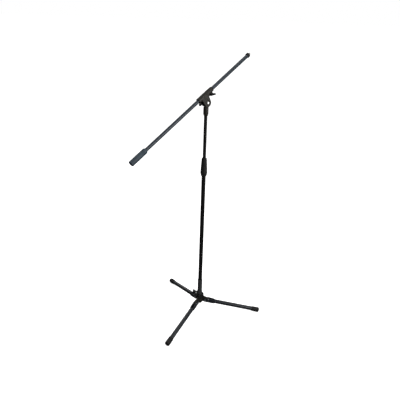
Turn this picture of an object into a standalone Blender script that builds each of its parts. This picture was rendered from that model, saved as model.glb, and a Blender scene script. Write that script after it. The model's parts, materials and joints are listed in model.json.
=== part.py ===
"""Boom microphone stand: folding tripod base, telescopic mast, tilting boom with counterweight.

Units are metres, +Z is up. The origin is on the floor under the mast's axis.
The first leg points along +X, and the other two stand 120 and 240 degrees round from it.
"""
import math

import bmesh
import bpy
from mathutils import Matrix, Vector

MM = 0.001
GAP = 0.3 * MM                 # air between two pieces that touch
COLLECTION = "boom_microphone_stand"

FINE = 24                      # facets round a large turned piece
COARSE = 16                    # facets round a screw, pin or knob
MERGE = 0.00001

# Base: leg pivots on the hub, links from the legs up to the sliding collar
LEG_ANGLES = (0.0, 120.0, 240.0)
LEG_SLOPE = math.radians(12.3)
LEG_PIVOT_RADIUS = 30 * MM
LEG_PIVOT_HEIGHT = 78 * MM
LEG_TUBE_RADIUS = 11 * MM
LEG_WALL = 1.5 * MM
LEG_TUBE_START = 60 * MM
LEG_TUBE_END = 306 * MM
FOOT_START = 270 * MM
FOOT_END = 312.2 * MM
FOOT_RADIUS = 13.5 * MM
STRUT_PIN_ALONG = 18 * MM
STRUT_PIN_RISE = 8 * MM
FORK_END = 57 * MM
COLLAR_PIVOT_RADIUS = 19 * MM
COLLAR_PIVOT_HEIGHT = 98 * MM
TONGUE = 10 * MM
STRUT = 9 * MM
CHANNEL = 10.8 * MM
BRACKET_WIDTH = 20 * MM
LUG_HALF_WIDTH = 8.6 * MM
LUG_SLOT = 9.6 * MM
PIN_RADIUS = 2.5 * MM
PIN_HOLE = PIN_RADIUS + GAP

HUB_BOTTOM = 66 * MM
HUB_TOP = 88 * MM
HUB_RADIUS = 16 * MM
COLLAR_BOTTOM = 92 * MM
COLLAR_SPLIT = 119.5 * MM
NECK_BOTTOM = 145 * MM
NECK_TOP = 208 * MM
LOCK_HEIGHT = 129 * MM
LOCK_ANGLE = math.radians(180)

# Mast
LOWER_RADIUS = 10.5 * MM
UPPER_RADIUS = 8 * MM
TUBE_WALL = 1.2 * MM
LOWER_TOP = 838 * MM
GRIP_BOTTOM = 803 * MM
GRIP_TOP = 893 * MM
UPPER_BOTTOM = 450 * MM
SLEEVE_BOTTOM = 1097 * MM
SLEEVE_TOP = 1138 * MM
SLEEVE_RADIUS = 12.3 * MM
SOCKET_FLOOR = 1130 * MM

# Boom tilt joint and boom clamp
PIVOT_HEIGHT = 1158 * MM
BOOM_AZIMUTH = math.radians(38)
BOOM_ELEVATION = math.radians(32.8)
BOOM_OFFSET = 34 * MM
EYE_RADIUS = 13 * MM
EYE_HALF = 6 * MM
EAR_INNER = 7.6 * MM
EAR_OUTER = 13.6 * MM
EAR_RADIUS = 19 * MM
BOLT_RADIUS = 4 * MM
CLAMP_LOW = -36 * MM
CLAMP_HIGH = 56 * MM
CLAMP_RADIUS = 12.6 * MM
CLAMP_BORE = 10.5 * MM
CLAMP_SCREW_ALONG = 46 * MM
CLAMP_KNOB_TURN = math.radians(60)
TILT_KNOB_TURN = math.radians(40)
SCREW_RADIUS = 3 * MM

# Boom
BOOM_RADIUS = 8.5 * MM
BOOM_LOW = -452 * MM
BOOM_HIGH = 319 * MM
TIP_END = 325 * MM
STUD_LENGTH = 12 * MM
STUD_RADIUS = 4.7 * MM
WEIGHT_LOW = -465 * MM
WEIGHT_HIGH = -373 * MM
WEIGHT_RADIUS = 13.6 * MM

BLACK_STEEL = ((0.030, 0.031, 0.034), 0.42, 0.0)
BOOM_STEEL = ((0.060, 0.066, 0.076), 0.40, 0.0)
LEG_STEEL = ((0.045, 0.048, 0.055), 0.40, 0.0)
CAST_METAL = ((0.040, 0.041, 0.042), 0.50, 0.0)
BLACK_PLASTIC = ((0.020, 0.020, 0.020), 0.55, 0.0)
RUBBER = ((0.016, 0.016, 0.017), 0.80, 0.0)
CHROME = ((0.75, 0.75, 0.76), 0.20, 1.0)
ZINC = ((0.55, 0.55, 0.55), 0.35, 1.0)
BRASS = ((0.60, 0.45, 0.20), 0.35, 1.0)
NYLON = ((0.70, 0.70, 0.66), 0.50, 0.0)


def clear_scene():
    for item in list(bpy.data.objects):
        bpy.data.objects.remove(item)


def new_collection(name, hidden=False):
    group = bpy.data.collections.new(name)
    bpy.context.scene.collection.children.link(group)
    group.hide_render = hidden
    return group


clear_scene()
PARTS = new_collection(COLLECTION)
CUTTERS = new_collection(COLLECTION + "_cutters", hidden=True)


def finish_material(name):
    color, roughness, metallic = name
    material = bpy.data.materials.new("finish")
    material.use_nodes = True
    shader = material.node_tree.nodes["Principled BSDF"]
    shader.inputs["Base Color"].default_value = (*color, 1.0)
    shader.inputs["Roughness"].default_value = roughness
    shader.inputs["Metallic"].default_value = metallic
    return material


def place(name, mesh, frame, look=None):
    """Link a mesh at a frame: as a part when it has a look, as a hidden shape when it has none."""
    item = bpy.data.objects.new(name, mesh)
    item.matrix_world = frame
    if look is None:
        CUTTERS.objects.link(item)
        item.hide_render = True
        item.display_type = "WIRE"
    else:
        PARTS.objects.link(item)
        material = finish_material(look)
        material.name = name + "_finish"
        mesh.materials.append(material)
    return item



def turned(name, outline, frame, look=None, facets=FINE, closed=True):
    """Turn an outline of (radius, height) about the frame's Z axis.

    The outline runs down its outer side. A closed one is a ring, an open one starts
    and ends on the axis.
    """
    mesh = bpy.data.meshes.new(name)
    shape = bmesh.new()
    corners = [shape.verts.new((radius, 0, height)) for radius, height in outline]
    for first, second in zip(corners, corners[1:]):
        shape.edges.new((first, second))
    if closed:
        shape.edges.new((corners[-1], corners[0]))
    shape.to_mesh(mesh)
    shape.free()
    item = place(name, mesh, frame, look)
    spin = item.modifiers.new("turn", "SCREW")
    spin.axis = "Z"
    spin.steps = facets
    spin.render_steps = facets
    spin.use_merge_vertices = True
    spin.merge_threshold = MERGE
    spin.use_smooth_shade = True
    return item


def tube(name, outer, inner, bottom, top, frame, look=None, facets=FINE):
    outline = ((outer, top), (outer, bottom), (inner, bottom), (inner, top))
    return turned(name, outline, frame, look, facets)


def rod(name, radius, bottom, top, frame, look=None, facets=COARSE):
    outline = ((0, top), (radius, top), (radius, bottom), (0, bottom))
    return turned(name, outline, frame, look, facets, closed=False)


def block(name, low, high, frame, look=None):
    low = Vector(low)
    high = Vector(high)
    mesh = bpy.data.meshes.new(name)
    shape = bmesh.new()
    fit = Matrix.Translation((low + high) / 2) @ Matrix.Diagonal((*(high - low), 1))
    bmesh.ops.create_cube(shape, size=1, matrix=fit)
    shape.to_mesh(mesh)
    shape.free()
    return place(name, mesh, frame, look)


def wrap(circles, steps=8):
    """Outline of a band stretched round circles given as (x, y, radius), counter-clockwise."""
    points = []
    count = len(circles)
    for index, (x, y, radius) in enumerate(circles):
        before = circles[index - 1]
        after = circles[(index + 1) % count]
        start = tangent_angle(before, circles[index])
        end = tangent_angle(circles[index], after)
        while end < start:
            end += math.tau
        for step in range(steps + 1):
            angle = start + (end - start) * step / steps
            points.append((x + radius * math.cos(angle), y + radius * math.sin(angle)))
    return points


def tangent_angle(first, second):
    """Direction from the centres to the outer tangent line of two circles, on its right."""
    across = second[0] - first[0]
    up = second[1] - first[1]
    heading = math.atan2(up, across)
    return heading - math.acos((first[2] - second[2]) / math.hypot(across, up))


def plate(name, outline, low, high, frame, look=None):
    """Flat plate: an outline in the frame's X and Z, between two distances along its Y."""
    curve = bpy.data.curves.new(name, "CURVE")
    curve.dimensions = "2D"
    curve.fill_mode = "BOTH"
    curve.extrude = (high - low) / 2
    line = curve.splines.new("POLY")
    line.points.add(len(outline) - 1)
    for point, (x, y) in zip(line.points, outline):
        point.co = (x, y, 0, 1)
    line.use_cyclic_u = True
    flat = bpy.data.objects.new(name, curve)
    PARTS.objects.link(flat)
    bpy.context.view_layer.update()
    ready = flat.evaluated_get(bpy.context.evaluated_depsgraph_get())
    mesh = bpy.data.meshes.new_from_object(ready)
    bpy.data.objects.remove(flat)
    bpy.data.curves.remove(curve)
    shape = bmesh.new()
    shape.from_mesh(mesh)
    bmesh.ops.remove_doubles(shape, verts=shape.verts, dist=MERGE)
    bmesh.ops.recalc_face_normals(shape, faces=shape.faces)
    stand = Matrix.Translation((0, (low + high) / 2, 0)) @ Matrix.Rotation(math.pi / 2, 4, "X")
    bmesh.ops.transform(shape, matrix=stand, verts=shape.verts)
    shape.to_mesh(mesh)
    shape.free()
    return place(name, mesh, frame, look)


def combine(item, other, operation):
    step = item.modifiers.new(operation.lower(), "BOOLEAN")
    step.operation = operation
    step.solver = "EXACT"
    step.object = other
    return item


def cut(item, other):
    return combine(item, other, "DIFFERENCE")


def join(item, other):
    return combine(item, other, "UNION")


def turn_z(angle):
    return Matrix.Rotation(angle, 4, "Z")


# Frames. A frame's Z is the axis of the pieces that are turned in it.
WORLD = Matrix.Identity(4)
ALONG_X = Matrix.Rotation(math.pi / 2, 4, "Y")       # Z to +X
ALONG_Y = Matrix.Rotation(-math.pi / 2, 4, "X")      # Z to +Y
DOWNWARD = Matrix.Rotation(math.pi, 4, "X")          # Z to -Z


def leg_frame(angle):
    """At a leg's pivot: X runs out along the leg, Y is the pivot's axis."""
    arm = Matrix.Translation((LEG_PIVOT_RADIUS, 0, LEG_PIVOT_HEIGHT))
    return turn_z(angle) @ arm @ Matrix.Rotation(LEG_SLOPE, 4, "Y")


def strut_frame(angle):
    """At a strut's outer pin: X runs along the strut to its collar pivot."""
    outer = leg_frame(0) @ Vector((STRUT_PIN_ALONG, 0, STRUT_PIN_RISE))
    reach = Vector((COLLAR_PIVOT_RADIUS, 0, COLLAR_PIVOT_HEIGHT)) - outer
    heading = math.atan2(-reach.z, reach.x)
    frame = turn_z(angle) @ Matrix.Translation(outer) @ Matrix.Rotation(heading, 4, "Y")
    return frame, reach.length


PIVOT = Matrix.Translation((0, 0, PIVOT_HEIGHT)) @ turn_z(BOOM_AZIMUTH)
CLAMP = PIVOT @ Matrix.Rotation(-BOOM_ELEVATION, 4, "Y")
BOOM = CLAMP @ Matrix.Translation((0, 0, BOOM_OFFSET)) @ ALONG_X
CLAMP_SCREW = CLAMP @ Matrix.Translation((CLAMP_SCREW_ALONG, 0, BOOM_OFFSET)) @ DOWNWARD
LOCK = Matrix.Translation((0, 0, LOCK_HEIGHT)) @ turn_z(LOCK_ANGLE) @ ALONG_X


def wing_knob(name, frame, start, hub_radius, height, span, thickness, bore, depth, look):
    """Hub with two wings that flare outwards, turned about the frame's Z."""
    middle = start + height / 2
    profile = (
        (0, start + height), (hub_radius * 0.75, start + height),
        (hub_radius, middle), (hub_radius, start), (0, start),
    )
    knob = turned(name, profile, frame, look, COARSE, closed=False)
    tip = height * 0.28
    rise = start + height - tip
    wings = wrap(((0, start + height * 0.35, height * 0.3), (span - tip, rise, tip),
                  (tip - span, rise, tip)))
    join(knob, plate(name + "_wings", wings, -thickness / 2, thickness / 2, frame))
    cut(knob, rod(name + "_bore", bore, start - MM, start + depth, frame))
    return knob


def rivet(name, frame, half_width, look):
    head = 4.2 * MM
    lip = half_width + GAP
    top = lip + 1.4 * MM
    outline = (
        (0, top), (head * 0.7, top), (head, lip), (PIN_RADIUS, lip),
        (PIN_RADIUS, -lip), (head, -lip), (head * 0.7, -top), (0, -top),
    )
    return turned(name, outline, frame @ ALONG_Y, look, COARSE, closed=False)


def build_hub():
    hub = rod("base_hub", HUB_RADIUS, HUB_BOTTOM, HUB_TOP, WORLD, CAST_METAL, FINE)
    tongue = wrap(((13 * MM, 77 * MM, 9.5 * MM),
                   (LEG_PIVOT_RADIUS, LEG_PIVOT_HEIGHT, 7 * MM)))
    for number, degrees in enumerate(LEG_ANGLES, 1):
        frame = turn_z(math.radians(degrees))
        join(hub, plate(f"hub_tongue_{number}", tongue, -TONGUE / 2, TONGUE / 2, frame))
        pivot = frame @ Matrix.Translation((LEG_PIVOT_RADIUS, 0, LEG_PIVOT_HEIGHT)) @ ALONG_Y
        cut(hub, rod(f"hub_pin_hole_{number}", PIN_HOLE, -TONGUE, TONGUE, pivot))
        rivet(f"leg_{number}_hub_pin", pivot @ ALONG_Y.inverted(), BRACKET_WIDTH / 2, ZINC)
    cut(hub, rod("hub_socket", LOWER_RADIUS + GAP, HUB_BOTTOM + 4 * MM, HUB_TOP + MM, WORLD,
                 facets=FINE))
    foot = ((0, 65.7), (11, 65.7), (12.5, 64), (12.5, 62), (0, 62))
    outline = [(radius * MM, height * MM) for radius, height in foot]
    turned("hub_bottom_cap", outline, WORLD, BLACK_PLASTIC, closed=False)


def build_collar():
    bore = LOWER_RADIUS + GAP
    neck = 12.4 * MM
    flare = 14.2 * MM
    outline = (
        (0, NECK_TOP), (neck - MM, NECK_TOP), (neck, NECK_TOP - MM), (neck, NECK_BOTTOM),
        (flare, COLLAR_SPLIT + 5 * MM), (flare, COLLAR_SPLIT + GAP), (0, COLLAR_SPLIT + GAP),
    )
    collar = turned("base_collar", outline, WORLD, CAST_METAL, closed=False)
    join(collar, rod("lock_boss", 5.6 * MM, 5 * MM, 18.5 * MM, LOCK))
    cut(collar, rod("collar_bore", bore, COLLAR_SPLIT - MM, NECK_TOP + MM, WORLD, facets=FINE))
    cut(collar, rod("lock_hole", SCREW_RADIUS + GAP, 5 * MM, 22 * MM, LOCK))
    ring = rod("collar_lug_ring", 15.5 * MM, COLLAR_BOTTOM, COLLAR_SPLIT, WORLD, BLACK_PLASTIC,
               FINE)
    foot = COLLAR_BOTTOM + 5 * MM
    head = COLLAR_SPLIT - 5.5 * MM
    lug = wrap(((17.5 * MM, foot, 5 * MM), (17.5 * MM, head, 5 * MM),
                (13.5 * MM, head, 5 * MM), (13.5 * MM, foot, 5 * MM)), steps=4)
    for number, degrees in enumerate(LEG_ANGLES, 1):
        frame = turn_z(math.radians(degrees))
        join(ring, plate(f"lug_{number}", lug, -LUG_HALF_WIDTH, LUG_HALF_WIDTH, frame))
        cut(ring, block(f"lug_slot_{number}", (12.5 * MM, -LUG_SLOT / 2, foot - 15 * MM),
                        (30 * MM, LUG_SLOT / 2, head + 15 * MM), frame))
    cut(ring, rod("ring_bore", bore, foot - 15 * MM, head + 15 * MM, WORLD, facets=FINE))


def build_lock_screw():
    rod("collar_lock_pad", 2.6 * MM, LOWER_RADIUS + GAP, 12 * MM, LOCK, BRASS)
    rod("collar_lock_screw", SCREW_RADIUS, 12.3 * MM, 33 * MM, LOCK, ZINC)
    wing_knob("collar_lock_knob", LOCK, 20 * MM, 6.5 * MM, 18 * MM, 14 * MM, 5 * MM,
              SCREW_RADIUS + GAP, 14 * MM, BLACK_PLASTIC)


def build_leg(number, angle):
    frame = leg_frame(angle)
    along = frame @ ALONG_X
    prefix = f"leg_{number}_"
    tube(prefix + "tube", LEG_TUBE_RADIUS, LEG_TUBE_RADIUS - LEG_WALL, LEG_TUBE_START,
         LEG_TUBE_END, along, LEG_STEEL)
    side = wrap(((0, 0, 10 * MM), (FORK_END - 8 * MM, 0, 10.4 * MM),
                 (STRUT_PIN_ALONG, STRUT_PIN_RISE, 5.2 * MM)))
    half = BRACKET_WIDTH / 2
    bracket = plate(prefix + "bracket", side, -half, half, frame, CAST_METAL)
    shoulder = LEG_TUBE_START - GAP
    plug = LEG_TUBE_RADIUS - LEG_WALL - GAP
    tip = LEG_TUBE_START + 30 * MM
    outline = ((0, tip), (plug - MM, tip), (plug, tip - MM), (plug, shoulder),
               (LEG_TUBE_RADIUS, shoulder), (LEG_TUBE_RADIUS, FORK_END - 7 * MM),
               (0, FORK_END - 11 * MM))
    join(bracket, turned(prefix + "plug", outline, along, closed=False))
    cut(bracket, block(prefix + "channel", (-15 * MM, -CHANNEL / 2, -20 * MM),
                       (24.2 * MM, CHANNEL / 2, 30 * MM), frame))
    cut(bracket, block(prefix + "strut_bay", (20 * MM, -CHANNEL / 2, -6 * MM),
                       (FORK_END, CHANNEL / 2, 30 * MM), frame))
    pin = frame @ ALONG_Y
    cut(bracket, rod(prefix + "hub_hole", PIN_HOLE, -BRACKET_WIDTH, BRACKET_WIDTH, pin))
    outer = frame @ Matrix.Translation((STRUT_PIN_ALONG, 0, STRUT_PIN_RISE))
    cut(bracket, rod(prefix + "strut_hole", PIN_HOLE, -BRACKET_WIDTH, BRACKET_WIDTH,
                     outer @ ALONG_Y))
    rivet(prefix + "strut_pin", outer, half, ZINC)
    build_foot(prefix, along)


def build_foot(prefix, along):
    bore = LEG_TUBE_RADIUS + GAP
    outline = (
        (0, FOOT_END), (8.5 * MM, FOOT_END), (11.8 * MM, FOOT_END - 1.5 * MM),
        (FOOT_RADIUS, FOOT_END - 5 * MM), (FOOT_RADIUS, FOOT_END - 22 * MM),
        (12.8 * MM, FOOT_START), (bore, FOOT_START), (bore, LEG_TUBE_END + GAP),
        (0, LEG_TUBE_END + GAP),
    )
    foot = turned(prefix + "foot", outline, along, RUBBER, closed=False)
    reach = 400 * MM
    cut(foot, block(prefix + "floor", (-reach, -reach, -50 * MM), (reach, reach, 0), WORLD))


def build_strut(number, angle):
    frame, length = strut_frame(angle)
    side = wrap(((0, 0, 4.1 * MM), (length, 0, 4 * MM)))
    strut = plate(f"leg_{number}_strut", side, -STRUT / 2, STRUT / 2, frame, CAST_METAL)
    cut(strut, rod(f"strut_hole_{number}", PIN_HOLE, -STRUT, STRUT, frame @ ALONG_Y))


def build_mast():
    inner = LOWER_RADIUS - TUBE_WALL
    tube("mast_lower_tube", LOWER_RADIUS, inner, HUB_BOTTOM + 4.3 * MM, LOWER_TOP, WORLD,
         BLACK_STEEL)
    bush = inner - GAP
    bore = UPPER_RADIUS - TUBE_WALL
    outline = (
        (0, UPPER_BOTTOM + 20 * MM), (bore - GAP, UPPER_BOTTOM + 20 * MM),
        (bore - GAP, UPPER_BOTTOM - GAP), (bush, UPPER_BOTTOM - GAP),
        (bush, UPPER_BOTTOM - 35 * MM), (0, UPPER_BOTTOM - 35 * MM),
    )
    turned("mast_guide_bush", outline, WORLD, NYLON, closed=False)
    tube("mast_upper_tube", UPPER_RADIUS, bore, UPPER_BOTTOM, SOCKET_FLOOR - GAP, WORLD,
         BLACK_STEEL)
    neck = SOCKET_FLOOR + 5 * MM
    outline = (
        (0, neck), (STUD_RADIUS, neck), (STUD_RADIUS, SOCKET_FLOOR - 0.6 * MM),
        (bore - GAP, SOCKET_FLOOR - 0.6 * MM), (bore - GAP, SOCKET_FLOOR - 25 * MM),
        (0, SOCKET_FLOOR - 25 * MM),
    )
    turned("mast_thread_stud", outline, WORLD, ZINC, closed=False)


def build_clutch():
    seat = 870 * MM
    bore = LOWER_RADIUS + GAP
    holder = 10.3 * MM
    shell = 12.4 * MM
    outline = (
        (shell, seat), (shell, GRIP_BOTTOM + 3 * MM), (bore, GRIP_BOTTOM + 3 * MM),
        (bore, LOWER_TOP + GAP), (holder, LOWER_TOP + GAP), (holder, seat),
    )
    turned("height_clutch_body", outline, WORLD, BLACK_PLASTIC)
    hold = UPPER_RADIUS + GAP
    rim = seat + GAP
    outline = (
        (11 * MM, 879 * MM), (12.2 * MM, rim + 4 * MM), (12.2 * MM, rim), (10 * MM, rim),
        (10 * MM, LOWER_TOP + 2 * MM), (hold, LOWER_TOP + 2 * MM), (hold, 879 * MM),
    )
    collet = turned("height_clutch_collet", outline, WORLD, NYLON)
    cut(collet, block("collet_slit", (-20 * MM, -0.8 * MM, 830 * MM), (0, 0.8 * MM, 900 * MM),
                      WORLD))
    inside = shell + GAP
    narrow = hold + GAP
    outline = (
        (narrow + 1.5 * MM, GRIP_TOP), (12.4 * MM, GRIP_TOP - 3 * MM),
        (13.4 * MM, GRIP_TOP - 9 * MM), (16.8 * MM, GRIP_BOTTOM + 22 * MM),
        (17 * MM, GRIP_BOTTOM + 15 * MM), (13.8 * MM, GRIP_BOTTOM), (inside, GRIP_BOTTOM),
        (inside, 880 * MM), (narrow, 886 * MM), (narrow, GRIP_TOP),
    )
    turned("height_clutch_grip", outline, WORLD, RUBBER)


def build_swivel_post():
    bore = UPPER_RADIUS + GAP
    low = SLEEVE_BOTTOM
    outline = (
        (0, SLEEVE_TOP), (SLEEVE_RADIUS - 1.5 * MM, SLEEVE_TOP),
        (SLEEVE_RADIUS, SLEEVE_TOP - 1.5 * MM), (SLEEVE_RADIUS, low + 9 * MM),
        (bore + 0.8 * MM, low), (bore, low), (bore, SOCKET_FLOOR), (5 * MM, SOCKET_FLOOR),
        (5 * MM, SOCKET_FLOOR + 6 * MM), (0, SOCKET_FLOOR + 6 * MM),
    )
    post = turned("swivel_post", outline, WORLD, CAST_METAL, closed=False)
    foot = SLEEVE_TOP - PIVOT_HEIGHT - 0.5 * MM
    neck = wrap(((0, 0, EYE_RADIUS), (-7 * MM, foot, 1.5 * MM), (7 * MM, foot, 1.5 * MM)))
    join(post, plate("post_eye", neck, -EYE_HALF, EYE_HALF, PIVOT))
    cut(post, rod("post_eye_hole", BOLT_RADIUS + GAP, -10 * MM, 10 * MM, PIVOT @ ALONG_Y))


def build_clamp():
    outline = (
        (0, CLAMP_HIGH), (CLAMP_BORE + 0.8 * MM, CLAMP_HIGH),
        (CLAMP_RADIUS - 0.6 * MM, CLAMP_HIGH - 9 * MM), (CLAMP_RADIUS, CLAMP_HIGH - 16 * MM),
        (CLAMP_RADIUS, CLAMP_LOW + 1.5 * MM), (CLAMP_RADIUS - 1.2 * MM, CLAMP_LOW),
        (0, CLAMP_LOW),
    )
    clamp = turned("boom_clamp_body", outline, BOOM, CAST_METAL, closed=False)
    ear = wrap(((0, 0, EAR_RADIUS), (14 * MM, BOOM_OFFSET - 3 * MM, 8 * MM),
                (-12 * MM, BOOM_OFFSET - 8 * MM, 8 * MM)), steps=12)
    for side, name in ((1, "far"), (-1, "near")):
        low, high = sorted((side * EAR_INNER, side * EAR_OUTER))
        join(clamp, plate(f"clamp_ear_{name}", ear, low, high, CLAMP))
    across = CLAMP @ ALONG_Y
    cut(clamp, rod("clamp_bolt_hole", BOLT_RADIUS + GAP, -20 * MM, 20 * MM, across))
    cut(clamp, rod("clamp_recess", 11.5 * MM, -20 * MM, -EAR_OUTER + 1.5 * MM, across,
                   facets=FINE))
    boss = CLAMP_SCREW
    join(clamp, rod("clamp_boss", 7 * MM, 5 * MM, 14.7 * MM, boss))
    cut(clamp, rod("clamp_bore", CLAMP_BORE, CLAMP_LOW - 5 * MM, CLAMP_HIGH + 5 * MM, BOOM,
                   facets=FINE))
    cut(clamp, rod("clamp_pad_hole", 4.3 * MM, 8 * MM, 13.2 * MM, boss))
    cut(clamp, rod("clamp_screw_hole", SCREW_RADIUS + GAP, 8 * MM, 22 * MM, boss))


def build_tilt_bolt():
    across = CLAMP @ ALONG_Y
    seat = -EAR_OUTER + 1.2 * MM
    head = 6.5 * MM
    outline = (
        (0, 27 * MM), (BOLT_RADIUS - 0.8 * MM, 27 * MM), (BOLT_RADIUS, 26 * MM),
        (BOLT_RADIUS, seat), (head, seat), (head, seat - 2.5 * MM),
        (head * 0.6, seat - 4.4 * MM), (0, seat - 4.8 * MM),
    )
    bolt = turned("tilt_bolt", outline, across, CHROME, COARSE, closed=False)
    hexagon = rod("bolt_socket", 2.9 * MM, -30 * MM, seat - 2 * MM, across, facets=6)
    cut(bolt, hexagon)
    inner = BOLT_RADIUS + GAP
    tube("tilt_washer_far", 12 * MM, inner, EYE_HALF + GAP, EAR_INNER - GAP, across, NYLON,
         COARSE)
    tube("tilt_washer_near", 12 * MM, inner, GAP - EAR_INNER, -EYE_HALF - GAP, across, NYLON,
         COARSE)
    level = CLAMP @ Matrix.Rotation(BOOM_ELEVATION, 4, "Y") @ ALONG_Y
    wings = level @ turn_z(math.pi / 2 + TILT_KNOB_TURN)
    wing_knob("tilt_knob", wings, EAR_OUTER + GAP, 9 * MM, 22 * MM, 24 * MM, 6.5 * MM,
              BOLT_RADIUS + GAP, 14 * MM, BLACK_PLASTIC)


def build_clamp_screw():
    rod("boom_clamp_pad", 4 * MM, 10.6 * MM, 12.6 * MM, CLAMP_SCREW, BRASS)
    rod("boom_clamp_screw", SCREW_RADIUS, 12.9 * MM, 23.2 * MM, CLAMP_SCREW, ZINC)
    wings = CLAMP_SCREW @ turn_z(CLAMP_KNOB_TURN)
    wing_knob("boom_clamp_knob", wings, 15.2 * MM, 7.5 * MM, 12 * MM, 20 * MM, 5.5 * MM,
              SCREW_RADIUS + GAP, 8.5 * MM, BLACK_PLASTIC)


def build_boom():
    bore = BOOM_RADIUS + GAP
    shell = CLAMP_BORE - GAP
    outline = (
        (11.6 * MM, CLAMP_HIGH + 2.3 * MM), (11.6 * MM, CLAMP_HIGH + GAP),
        (shell, CLAMP_HIGH + GAP), (shell, CLAMP_LOW + 2 * MM), (bore, CLAMP_LOW + 2 * MM),
        (bore, CLAMP_HIGH + 2.3 * MM),
    )
    turned("boom_clamp_bush", outline, BOOM, BLACK_PLASTIC)
    inner = BOOM_RADIUS - TUBE_WALL
    tube("boom_tube", BOOM_RADIUS, inner, BOOM_LOW, BOOM_HIGH, BOOM, BOOM_STEEL)
    rod("boom_tail_plug", inner - GAP, BOOM_LOW + MM, BOOM_LOW + 20 * MM, BOOM, BLACK_PLASTIC,
        FINE)
    outline = (
        (10.2 * MM, TIP_END), (11 * MM, TIP_END - MM), (11 * MM, TIP_END - 10 * MM),
        (10.2 * MM, TIP_END - 11 * MM), (bore, TIP_END - 11 * MM), (bore, BOOM_HIGH + GAP),
        (STUD_RADIUS + GAP, BOOM_HIGH + GAP), (STUD_RADIUS + GAP, TIP_END),
    )
    turned("boom_tip_cap", outline, BOOM, BLACK_PLASTIC)
    end = TIP_END + STUD_LENGTH
    plug = inner - GAP
    outline = (
        (0, end), (STUD_RADIUS - 0.7 * MM, end), (STUD_RADIUS, end - 0.8 * MM),
        (STUD_RADIUS, BOOM_HIGH - GAP), (plug, BOOM_HIGH - GAP), (plug, BOOM_HIGH - 24 * MM),
        (0, BOOM_HIGH - 24 * MM),
    )
    turned("boom_tip_stud", outline, BOOM, CHROME, closed=False)


def build_counterweight():
    bore = BOOM_RADIUS + GAP
    pocket = 11.6 * MM
    far = WEIGHT_LOW + 5 * MM
    near = WEIGHT_HIGH - 7 * MM
    outline = (
        (bore + 1.2 * MM, WEIGHT_HIGH), (WEIGHT_RADIUS - 1.5 * MM, WEIGHT_HIGH - 2 * MM),
        (WEIGHT_RADIUS, WEIGHT_HIGH - 8 * MM), (WEIGHT_RADIUS, WEIGHT_LOW + 3 * MM),
        (WEIGHT_RADIUS - 2 * MM, WEIGHT_LOW), (5 * MM, WEIGHT_LOW), (5 * MM, far), (pocket, far),
        (pocket, near), (bore, near), (bore, WEIGHT_HIGH),
    )
    turned("counterweight_sleeve", outline, BOOM, RUBBER)
    tube("counterweight_core", pocket - GAP, bore, far + GAP, near - GAP, BOOM, ZINC)


build_hub()
build_collar()
build_lock_screw()
for leg_number, leg_degrees in enumerate(LEG_ANGLES, 1):
    build_leg(leg_number, math.radians(leg_degrees))
    build_strut(leg_number, math.radians(leg_degrees))
build_mast()
build_clutch()
build_swivel_post()
build_clamp()
build_tilt_bolt()
build_clamp_screw()
build_boom()
build_counterweight()
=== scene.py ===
"""Fine surfaces, finishes, light and camera for the boom microphone stand."""

import json
import math

import bmesh
import bpy
from mathutils import Matrix, Vector


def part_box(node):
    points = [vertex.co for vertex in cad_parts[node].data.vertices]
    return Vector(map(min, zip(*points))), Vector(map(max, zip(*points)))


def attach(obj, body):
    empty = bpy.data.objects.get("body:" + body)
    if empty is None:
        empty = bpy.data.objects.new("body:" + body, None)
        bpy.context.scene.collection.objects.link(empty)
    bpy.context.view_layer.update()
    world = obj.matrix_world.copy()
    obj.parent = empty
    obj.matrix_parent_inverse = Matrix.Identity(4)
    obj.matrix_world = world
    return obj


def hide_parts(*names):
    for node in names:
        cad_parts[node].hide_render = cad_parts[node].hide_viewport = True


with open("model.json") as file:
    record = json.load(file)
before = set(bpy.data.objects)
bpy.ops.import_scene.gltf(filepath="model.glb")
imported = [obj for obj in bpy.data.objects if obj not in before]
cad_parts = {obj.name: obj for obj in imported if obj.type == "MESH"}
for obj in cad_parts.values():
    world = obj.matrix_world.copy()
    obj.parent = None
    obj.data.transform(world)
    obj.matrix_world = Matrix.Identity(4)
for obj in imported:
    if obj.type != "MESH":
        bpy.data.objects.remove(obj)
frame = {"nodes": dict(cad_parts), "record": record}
NODES = frame["nodes"]
RECORD = frame["record"]
JOINTS = {joint["name"]: joint for joint in RECORD["behaviour"]["joints"]}
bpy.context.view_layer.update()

MM = 0.001
GAP = 0.3 * MM
FINE = 96
SMALL = 48
LEGS = (1, 2, 3)

# Camera: about 2 m away at a standing person's eye height, turned a little round the mast
CAMERA_DISTANCE = 2.036
CAMERA_HEIGHT = 1.513
CAMERA_ROUND = math.radians(-2.5)
CAMERA_TURN = math.radians(-2.1)
CAMERA_PITCH = math.radians(22.43)
CAMERA_ROLL = math.radians(1.82)
CAMERA_LENS = 39.45


# ---------------------------------------------------------------- frames and measures

def axes_frame(origin, z_axis, x_axis):
    """Frame with its Z along z_axis and its X as near x_axis as it can be."""
    z_axis = Vector(z_axis).normalized()
    x_axis = Vector(x_axis)
    x_axis = (x_axis - z_axis * x_axis.dot(z_axis)).normalized()
    y_axis = z_axis.cross(x_axis)
    turn = Matrix((x_axis, y_axis, z_axis)).transposed().to_4x4()
    return Matrix.Translation(Vector(origin)) @ turn


def local_points(node, place):
    back = place.inverted()
    return [back @ corner.co for corner in NODES[node].data.vertices]


def span(node, place):
    """Lowest and highest Z of a CAD node in a frame."""
    heights = [point.z for point in local_points(node, place)]
    return min(heights), max(heights)


def radii_between(node, place, low, high):
    """How far from a frame's Z a CAD node's corners are, between two heights."""
    return [math.hypot(p.x, p.y) for p in local_points(node, place) if low <= p.z <= high]


def widest(node, place, low=-math.inf, high=math.inf):
    return max(radii_between(node, place, low, high))


def narrowest(node, place, low=-math.inf, high=math.inf):
    return min(radii_between(node, place, low, high))


def centre(node):
    low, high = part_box(node)
    return (Vector(low) + Vector(high)) / 2


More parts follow.
